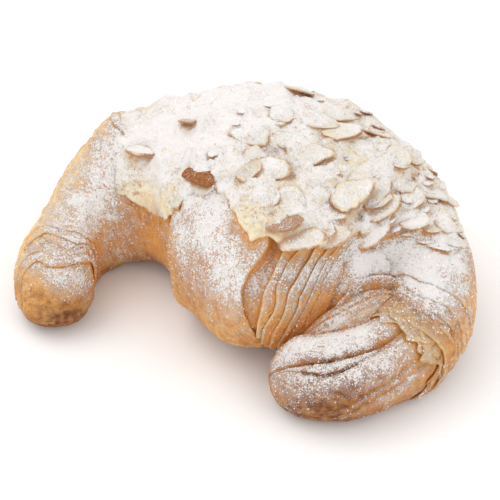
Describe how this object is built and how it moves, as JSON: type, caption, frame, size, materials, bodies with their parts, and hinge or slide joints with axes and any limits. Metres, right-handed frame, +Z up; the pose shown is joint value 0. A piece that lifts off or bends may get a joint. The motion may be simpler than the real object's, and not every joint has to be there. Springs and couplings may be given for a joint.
{
  "type": "almond croissant",
  "caption": "Crescent-shaped almond croissant of rolled laminated dough with a lumpy almond crust and flaked almonds on top, lying flat with its horns curled to one side.",
  "frame": {"origin": "middle of the bounding box in X and Y, on the flat underside", "axes": "+X runs from the left horn to the right horn, +Y to the rounded back, +Z up"},
  "size_m": [0.1452, 0.108, 0.0635],
  "materials": {
    "baked_dough": "golden brown baked crust dusted with icing sugar",
    "almond_cream": "pale baked almond cream with flaked almonds under icing sugar"
  },
  "bodies": {
    "root": {"croissant": "baked_dough", "almond_crust": "almond_cream"}
  },
  "joints": []
}
